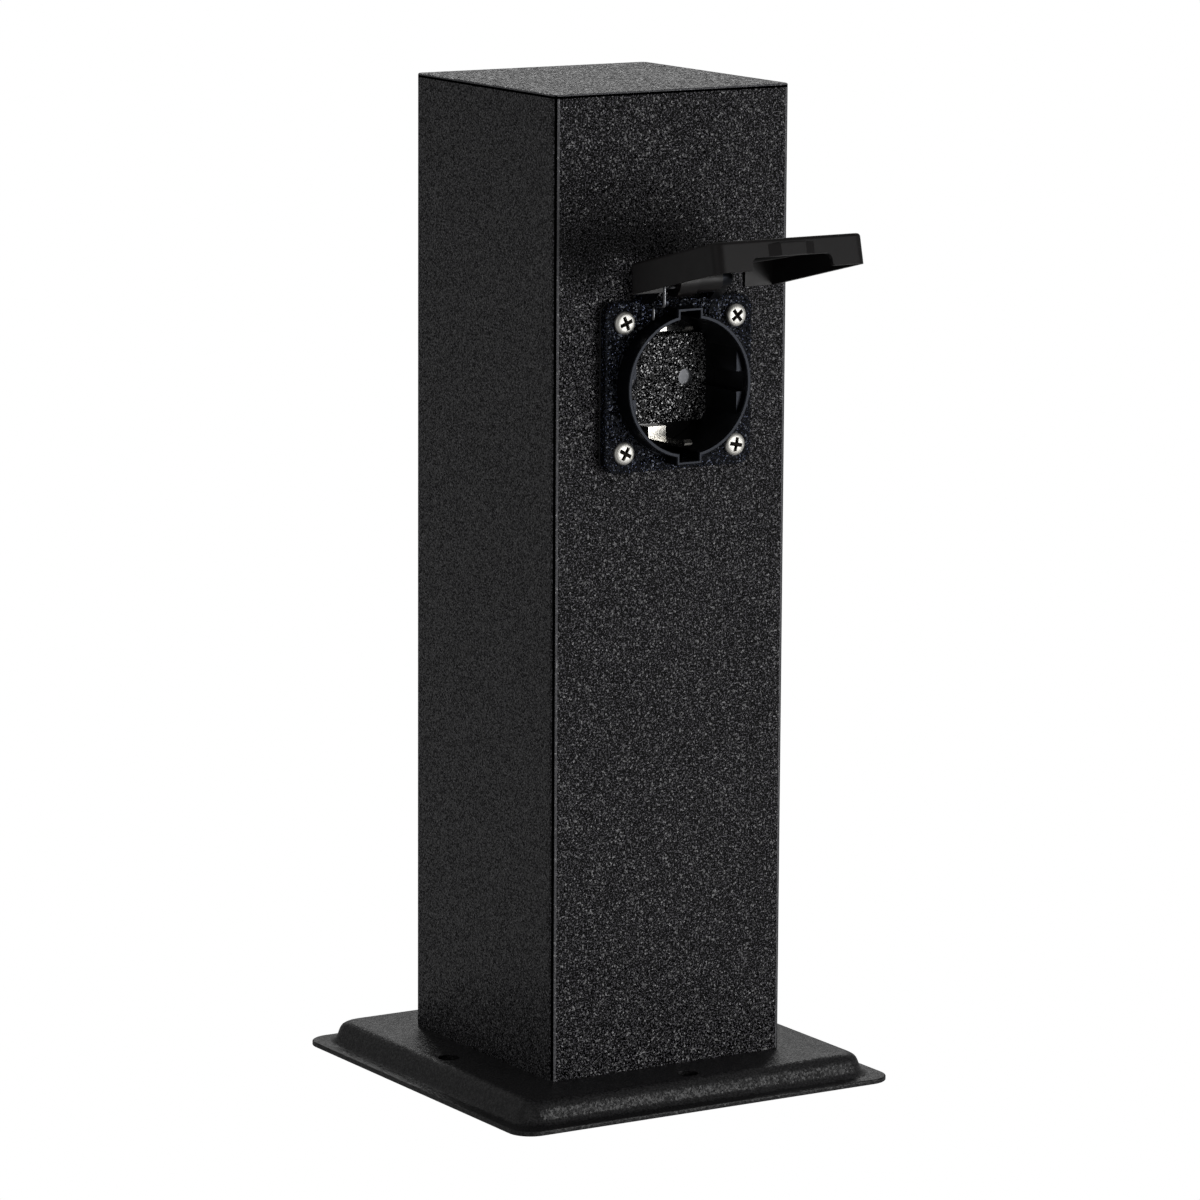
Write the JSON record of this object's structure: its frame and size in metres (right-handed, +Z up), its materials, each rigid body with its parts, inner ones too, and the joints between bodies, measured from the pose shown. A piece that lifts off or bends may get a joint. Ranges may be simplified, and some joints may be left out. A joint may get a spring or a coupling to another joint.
{
  "type": "outdoor socket post",
  "caption": "Square garden post on a pressed foot plate, with an earthed recessed two-pin socket in its front face under a sprung hinged splash lid",
  "frame": {"origin": "centre of the foot plate's square, on the ground that it stands on", "axes": "+Z up the post, -Y out of the socket towards the user, +X to the right of somebody facing the socket"},
  "size_m": [0.13, 0.169, 0.298],
  "materials": {
    "post_coating": "fine black powder coating with a faint sparkle",
    "foot_coating": "fine black powder coating",
    "bare_steel": "plain sheet steel",
    "zinc_steel": "bright zinc plating",
    "spring_steel": "bright drawn wire",
    "nickel_strip": "bright nickel plating",
    "brass": "stamped brass",
    "black_moulding": "matte black moulding",
    "grey_moulding": "grey moulding",
    "cream_moulding": "pale moulding",
    "black_rubber": "soft black rubber",
    "brown_insulation": "smooth insulation",
    "blue_insulation": "smooth insulation",
    "green_insulation": "smooth green insulation with a yellow stripe"
  },
  "bodies": {
    "post": {"base_plate": "foot_coating", "post_shell": "post_coating", "top_cap": "post_coating", "foot_brackets": "bare_steel", "foot_screws": "zinc_steel", "cable_grommet": "black_rubber", "terminal_bracket": "bare_steel", "terminal_block": "cream_moulding", "terminal_clamps": "brass", "terminal_screws": "zinc_steel", "terminal_block_screws": "zinc_steel", "earth_stud": "bare_steel", "earth_lug": "brass", "earth_nut": "zinc_steel", "socket_gasket": "black_rubber", "socket_frame": "black_moulding", "flange_screws": "zinc_steel", "contact_carrier": "black_moulding", "shutter_spring": "spring_steel", "rear_cover": "cream_moulding", "live_contact": "brass", "neutral_contact": "brass", "earth_strap": "nickel_strip", "earth_terminal": "brass", "contact_screws": "zinc_steel", "carrier_screws": "zinc_steel", "live_wire": "brown_insulation", "neutral_wire": "blue_insulation", "earth_wire": "green_insulation", "earth_bond_wire": "green_insulation", "hinge_pin": "zinc_steel", "lid_spring": "spring_steel"},
    "splash_lid": {"lid": "black_moulding", "lid_seal": "black_rubber"},
    "safety_shutter": {"shutter": "grey_moulding"}
  },
  "joints": [
    {"name": "lid_hinge", "type": "hinge", "parent": "post", "child": "splash_lid", "pos_m": [0, -0.0482, 0.24365], "axis": [-1, 0, 0], "range_deg": [-103.5, 10], "stiffness_Nm_per_rad": 0.012, "springref_deg": -137.51, "deforming": ["lid_spring"]},
    {"name": "shutter_slide", "type": "slide", "parent": "post", "child": "safety_shutter", "axis": [-1, 0, 0], "range_m": [0, 0.0055], "stiffness_N_per_m": 8, "springref_m": -0.01, "deforming": ["shutter_spring"]}
  ]
}
